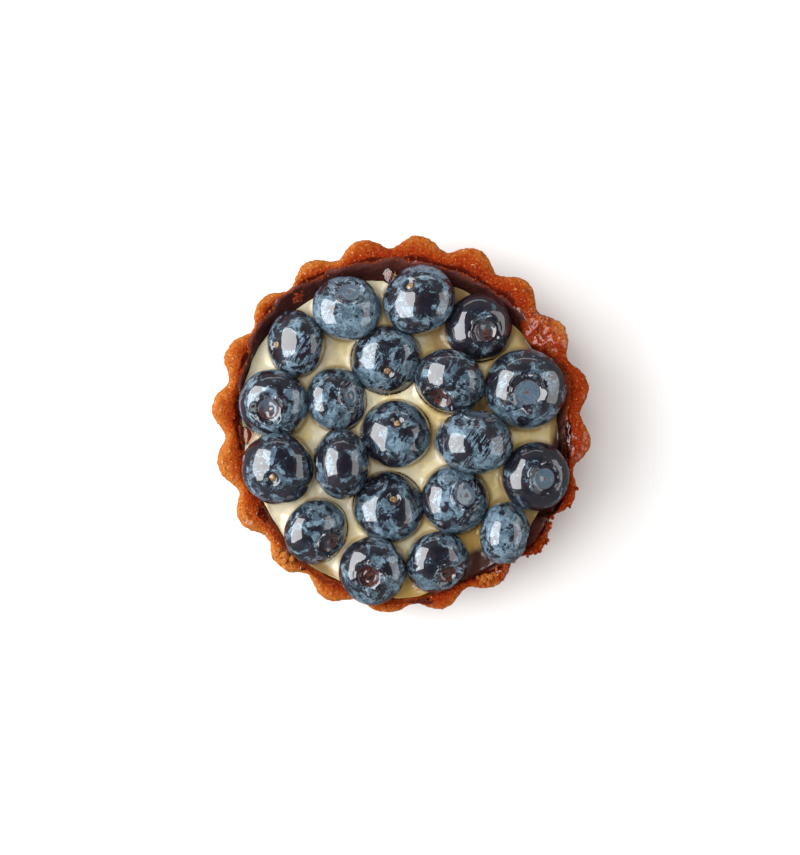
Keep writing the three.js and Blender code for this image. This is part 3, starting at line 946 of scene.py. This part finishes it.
# Heights of the cream's top, and how close each point lies to a berry.
def creamSurface(x, y):
    z = creamTop(x, y) + ridgeHeights(x, y) + creamEdging["lift"]
    edging = np.zeros_like(z)
    closeness = np.zeros_like(z)
    underside = np.full_like(z, 99.0)
    for node in berries:
        middle, wide, form = formOf(node)
        dx, dy = x - middle.x, y - middle.y
        level = form[0, 0] * dx * dx + 2 * form[0, 1] * dx * dy + form[1, 1] * dy * dy
        slant = form[0, 2] * dx + form[1, 2] * dy
        outline = level - slant ** 2 / form[2, 2]
        away = (np.sqrt(np.maximum(outline, 0)) - 1) * wide
        edging = np.maximum(edging, np.exp(-np.maximum(away, 0) / creamEdging["reach"]))
        closeness = np.maximum(closeness, np.exp(-np.maximum(away, 0) / creamEdging["shade"]))
        inside = outline < 1
        depth = np.sqrt(np.maximum(slant ** 2 - form[2, 2] * (level - 1), 0))
        low = middle.z + (-slant - depth) / form[2, 2] - creamEdging["hollowGap"]
        underside = np.where(inside, np.minimum(underside, low), underside)
    return np.minimum(z + creamEdging["rise"] * edging, underside), closeness


def modelCream():
    shares = np.linspace(1, 0.008, cream["rows"])
    rings = [(31.0, cream["bottom"]), (35.2, 15.5)] + [(36 * share, 17.0) for share in shares]
    piece = stackRings(cream["around"], rings, closed=True)
    number = ringNumbers(piece, rings)
    angle, _ = polar(readPlaces(piece))
    edge = creamEdge(angle) + cream["underCoat"] + waver(angle, (0.45, 44, 13))
    share = np.concatenate([[0.88, 0.99], shares])[number]
    radius = edge * share
    places = fromPolar(angle, radius, np.zeros(len(angle)))
    top, closeness = creamSurface(places[:, 0], places[:, 1])
    # how close each point lies to a berry, from which the finish paints shade
    store(piece, "closeness", closeness)
    for name, spots in (("stained", stainsAndShade), ("ambered", ambers)):
        total = sum(near(angle, spot) * ramp(radius, spot[3], spot[3] + spot[4]) for spot in spots)
        store(piece, name, np.clip(total, 0, 1))
    lip = creamEdging["lip"] * np.exp(-(1 - share) * 34 / creamEdging["lipReach"])
    low = np.where(number == 0, cream["bottom"], bendHeight(angle) - 0.4)
    places[:, 2] = np.where(number > 1, top + lip, low)
    writePlaces(piece, places)
    weightGroup(piece, "topSide", (number > 1).astype(float))
    roughen(piece, creamRelief)
    return piece


creamColours = {
    "light": (0.630, 0.570, 0.410, 1),
    "deep": (0.650, 0.525, 0.240, 1),
    "shadeAndStainBrown": (0.290, 0.180, 0.060, 1),
    "amber": (0.370, 0.225, 0.050, 1),
    "shaded": (0.400, 0.345, 0.225, 1),
    "stainAndShade": (0.040, 0.0085, 0.0050, 1),
}


def finishCream():
    finish, shader, place = newFinish("vanillaCream")
    x, y, _ = split(place)
    cloudy = speckle(place, 150.0, 3)
    yellow = fade(timesPlus(x, 4.5, cloudy), 0.38, 0.64)
    colour = mixColours(yellow, creamColours["light"], creamColours["deep"])
    mottled = fade(speckle(place, 620.0, 4, 0.6), 0.36, 0.64, 0.92, 1.05)
    colour = mixColours(1.0, colour, mottled, "MULTIPLY")
    # painted shade: greyer and darker on the right-hand side, and brown in the corners beside the berries,
    # where they shade the cream
    side = timesPlus(x, 30.0, times(y, 14.0))
    side = plus(side, speckle(place, 70.0, 2))
    colour = mixColours(fade(side, 0.80, 1.35, 0, 0.28), colour, creamColours["shaded"])
    cornerShade = timesPlus(cloudy, 0.8, attribute(shader, "closeness"))
    cornerShade = timesPlus(x, 3.0, cornerShade)
    colour = mixColours(fade(cornerShade, 0.98, 1.38, 0, 0.78), colour, creamColours["shadeAndStainBrown"])
    # amber glaze, in spots by the rim
    smudge = times(speckle(place, 200.0, 3), 0.5)
    amber = plus(smudge, attribute(shader, "ambered"))
    colour = mixColours(fade(amber, 0.35, 0.95, 0, 0.92), colour, creamColours["amber"])
    # the stains, and painted shade in two shadowed gaps between berries
    stainAndShade = plus(smudge, attribute(shader, "stained"))
    colour = mixColours(fade(stainAndShade, 0.34, 0.58, 0, 0.85), colour, creamColours["shadeAndStainBrown"])
    colour = mixColours(fade(stainAndShade, 0.50, 0.95, 0, 0.98), colour, creamColours["stainAndShade"])
    setInputs(shader, {
        "Base Color": colour,
        "Roughness": 0.45,
        "Subsurface Weight": 0.35,
        "Subsurface Radius": (0.0018, 0.0012, 0.0006),
        "Subsurface Scale": 1.0,
        "Normal": bump(speckle(place, 420.0, 2), 0.12, 0.0005),
        "Coat Weight": 1.0,
        "Coat Roughness": 0.05,
        "Coat IOR": 1.43,
        "Coat Normal": bump(speckle(place, 170.0, 2), 0.45, 0.0012),
    })
    return finish


# The glaze that creeps up each berry out of the cream: a ring drawn as a torus, and bent so that
# its section fills the corner between the two.
creep = {
    "climb": 2.3,
    "leastClimb": 0.3,
    "toe": 1.25,
    "waist": 0.20,
    "foot": 0.25,  # how far it reaches down into the cream
    "inside": 0.35,  # and into the berry
    "around": 120,
    "across": 12,
}


def modelCreep(node, number):
    radius = berries[node][0]
    middle, _, form = formOf(node)
    deselectAll()
    bpy.ops.mesh.primitive_torus_add(major_segments=creep["around"], minor_segments=creep["across"],
                                     major_radius=radius, minor_radius=1)
    piece = bpy.context.object
    places = readPlaces(piece)
    turn = np.arctan2(places[:, 1], places[:, 0])
    section = np.arctan2(places[:, 2], np.hypot(places[:, 0], places[:, 1]) - radius)
    cosine, sine = np.cos(turn), np.sin(turn)
    wobble = circleNoise(turn, 1.5, number)
    across = form[0, 0] * cosine ** 2 + 2 * form[0, 1] * cosine * sine + form[1, 1] * sine ** 2
    tilt = form[0, 2] * cosine + form[1, 2] * sine

    def skinRadius(height):
        rise = height - middle.z
        inside = np.maximum((tilt * rise) ** 2 - across * (form[2, 2] * rise ** 2 - 1), 0)
        return (-tilt * rise + np.sqrt(inside)) / across

    widest = middle.z - tilt / form[2, 2] / np.sqrt(across - tilt ** 2 / form[2, 2])
    rim = skinRadius(widest)
    bed = creamTop(middle.x + rim * cosine, middle.y + rim * sine) + creamEdging["lift"]
    climb = np.minimum(widest, bed + creep["climb"] * (1 + 0.5 * wobble)) - bed
    climb = np.maximum(climb, creep["leastClimb"])
    # the section runs from the foot under the berry, out to the toe, and up to the top
    share = np.clip(0.5 + section / math.pi, 0, 1)
    outer = np.abs(section) < math.pi / 2
    inner = bed + climb * np.clip((np.abs(section) / math.pi - 0.5), 0, 1) * np.sign(section)
    height = np.where(outer, lerp(bed - creep["foot"], bed + climb, share ** 1.6), inner)
    toe = (creep["toe"] * (1 + 0.6 * wobble)) * (1 - share) ** 2 + creep["waist"] * np.sin(math.pi * share)
    skin = skinRadius(np.minimum(height, widest))
    out = np.where(outer, skin + toe, skin - creep["inside"])
    places = np.stack([middle.x + out * cosine, middle.y + out * sine, height], axis=1)
    writePlaces(piece, places)
    return piece


# Pools of syrup on the rim, drawn as flattened balls that wrap onto the shell's skin.
pools = [
    {"name": "glazePoolRight", "angle": 354, "path": -0.03, "halfAngle": 9.0, "halfPath": 0.21,
     "thick": 0.55, "roundness": 0.30, "ragged": 0.25},
    {"name": "glazePoolLow", "angle": 327, "path": -0.06, "halfAngle": 6.0, "halfPath": 0.30,
     "thick": 0.36, "roundness": 0.5, "ragged": 0.45},
    {"name": "glazePoolUpper", "angle": 37, "path": -0.02, "halfAngle": 4.0, "halfPath": 0.20,
     "thick": 0.36, "roundness": 0.7, "ragged": 0.45},
    {"name": "glazePoolFront", "angle": 276, "path": -0.45, "halfAngle": 4.5, "halfPath": 0.22,
     "thick": 0.22, "roundness": 0.7, "ragged": 0.45},
    {"name": "glazePoolLeft", "angle": 213, "path": -0.10, "halfAngle": 3.5, "halfPath": 0.20,
     "thick": 0.24, "roundness": 0.7, "ragged": 0.45},
]


def modelPool(pool, number):
    piece = addBall(72, 36)
    places = readPlaces(piece)
    turn = np.arctan2(places[:, 1], places[:, 0])
    ragged = 1 + pool["ragged"] * circleNoise(turn, 1.6, 9 * number)
    angle = pool["angle"] + pool["halfAngle"] * ragged * places[:, 0]
    path = pool["path"] + pool["halfPath"] * ragged * places[:, 1]
    above = np.clip(places[:, 2], 0, 1) ** pool["roundness"]
    dome = np.where(places[:, 2] > 0, pool["thick"] * above, 0.5 * places[:, 2])
    ripple = noiseAt(places * (3, 3, 0) + (0, 0, number))
    writePlaces(piece, liftOffSkin(path, angle, dome * (1 + 0.25 * ripple)))
    return piece


# Drops of syrup, two in the corners between coat, cream and berry and one on the rim: where each
# lies, its half sizes, and how far and which way it leans.
drops = [
    {"name": "glazeDropBack", "place": (-2.9, 33.9, 17.50), "size": (1.5, 1.8, 0.45),
     "lean": 19, "towards": 176},
    {"name": "glazeDropLeft", "place": (-35.1, -2.3, 17.80), "size": (1.1, 2.0, 0.45),
     "lean": 19, "towards": 176},
    {"name": "glazeDropLow", "place": (-22.3, -32.1, 19.65), "size": (0.70, 0.60, 0.50),
     "lean": 8, "towards": 235},
]


def modelDrop(drop):
    piece = addBall(48, 24)
    places = readPlaces(piece)
    uneven = noiseAt(places * (1.4, 1.4, 0) + drop["place"])
    places[:, :2] *= (1 + 0.45 * uneven)[:, None]
    places[:, 2] = np.sign(places[:, 2]) * np.abs(places[:, 2]) ** 0.6
    writePlaces(piece, places * np.array(drop["size"]))
    way = leaning(drop["lean"], drop["towards"])
    lay = Vector((0, 0, 1)).rotation_difference(way).to_matrix().to_4x4()
    piece.data.transform(Matrix.Translation(drop["place"]) @ lay)
    return piece


# Crumbs: angle and path of the heap's middle, its spread in degrees and along the path, how many,
# the size of the grains, how pale and how wet they are.
heaps = [
    (129.5, 0.12, 1.1, 0.035, 24, 0.80, 0.10, 0.95),
    (300.5, -0.32, 2.4, 0.13, 30, 0.75, 1.05, 0.2),
    (228.5, -0.42, 1.5, 0.10, 11, 1.15, 1.6, 0.2),
    (322, -0.60, 9.0, 0.25, 34, 0.60, 0.5, 0.4),
    (140, -0.05, 22.0, 0.08, 44, 0.38, 0.5, 0.2),
    (80, -0.02, 30.0, 0.06, 50, 0.38, 0.5, 0.3),
    (200, -0.02, 30.0, 0.06, 30, 0.32, 0.5, 0.3),
    (36, -0.62, 4.0, 0.10, 10, 0.60, 0.7, 0.8),
]


def modelCrumbs():
    draw = random.Random(7)
    deselectAll()
    bpy.ops.mesh.primitive_ico_sphere_add(subdivisions=2, radius=1)
    model = bpy.context.object
    roughen(model, grainRelief)
    grains = []
    for angle, path, spread, along, count, size, paleness, wetness in heaps:
        for _ in range(count):
            at = np.array([max(draw.gauss(path, along), -0.8)]), np.array([draw.gauss(angle, spread)])
            place = liftOffSkin(*at, 0.35 * size)[0]
            grain = model.copy()
            grain.data = model.data.copy()
            scene.collection.objects.link(grain)
            axis = Vector((draw.random(), draw.random(), draw.random() + 0.1))
            turn = Matrix.Rotation(draw.uniform(0, 6.28), 4, axis)
            grow = Matrix.Diagonal([size * draw.uniform(0.4, 1.0) for _ in range(3)]).to_4x4()
            grain.data.transform(Matrix.Translation(place) @ turn @ grow)
            store(grain, "bakedShare", np.full(len(grain.data.vertices), paleness))
            store(grain, "wetShare", np.full(len(grain.data.vertices), wetness))
            grains.append(grain)
    bpy.data.objects.remove(model)
    deselectAll()
    for grain in grains:
        grain.select_set(True)
    bpy.context.view_layer.objects.active = grains[0]
    bpy.ops.object.join()
    return bpy.context.object


# Glaze and syrup, each with two tints in clouds, and a faintly wavy skin.
clearGlaze = {
    "tints": [(0.99, 0.93, 0.80, 1), (0.97, 0.86, 0.64, 1)],
    "clouds": (300.0, 2, 0.4, 0.6),  # scale, detail, and where they start and end
    "waves": (500.0, 0.06, 0.0005),  # scale, strength and depth
    "roughness": 0.03,
    "bending": 1.7,
}
darkSyrup = {
    "tints": [(0.46, 0.16, 0.085, 1), (0.82, 0.42, 0.22, 1)],
    "clouds": (320.0, 4, 0.40, 0.62),
    "waves": (380.0, 0.18, 0.0007),
    "roughness": 0.04,
    "bending": 1.55,
}


def finishGlaze(name, glaze):
    finish, shader, place = newFinish(name)
    scale, detail, low, high = glaze["clouds"]
    cloudy = fade(speckle(place, scale, detail), low, high)
    scale, strength, distance = glaze["waves"]
    setInputs(shader, {
        "Base Color": mixColours(cloudy, *glaze["tints"]),
        "Roughness": glaze["roughness"],
        "IOR": glaze["bending"],
        "Transmission Weight": 1.0,
        "Normal": bump(speckle(place, scale, 2), strength, distance),
    })
    return finish


addCamera()
addLights()
addFloor()
print("camera, lights and floor are set")

crustFinish = finishCrust()
liningFinish = finishLining()
creamFinish = finishCream()
skinFinish = finishSkin()
print("finishes are made")

finishPiece(modelShell(), "tartShell", crustFinish, "crust", "crust")
finishPiece(modelLining(), "chocolateCoat", liningFinish, "lining", "chocolate_lining")
finishPiece(modelCream(), "creamBed", creamFinish, "cream", "pastry_cream")

berryModel = modelBerry()
for number, node in enumerate(berries, start=1):
    finishPiece(placeBerry(berryModel, node, number), f"berry{number:02d}", skinFinish, "berry_skin", node)
bpy.data.objects.remove(berryModel)

syrupFinish = finishGlaze("darkSyrup", darkSyrup)
for number, pool in enumerate(pools):
    finishPiece(modelPool(pool, number), pool["name"], syrupFinish, "lining")
finishPiece(modelCrumbs(), "crumbs", crustFinish, "crust")

glazeFinish = finishGlaze("clearGlaze", clearGlaze)
for number, node in enumerate(berries, start=1):
    finishPiece(modelCreep(node, number), f"glazeRing{number:02d}", glazeFinish, "cream")
for drop in drops:
    finishPiece(modelDrop(drop), drop["name"], syrupFinish, "lining")

scene.view_settings.view_transform = "Standard"
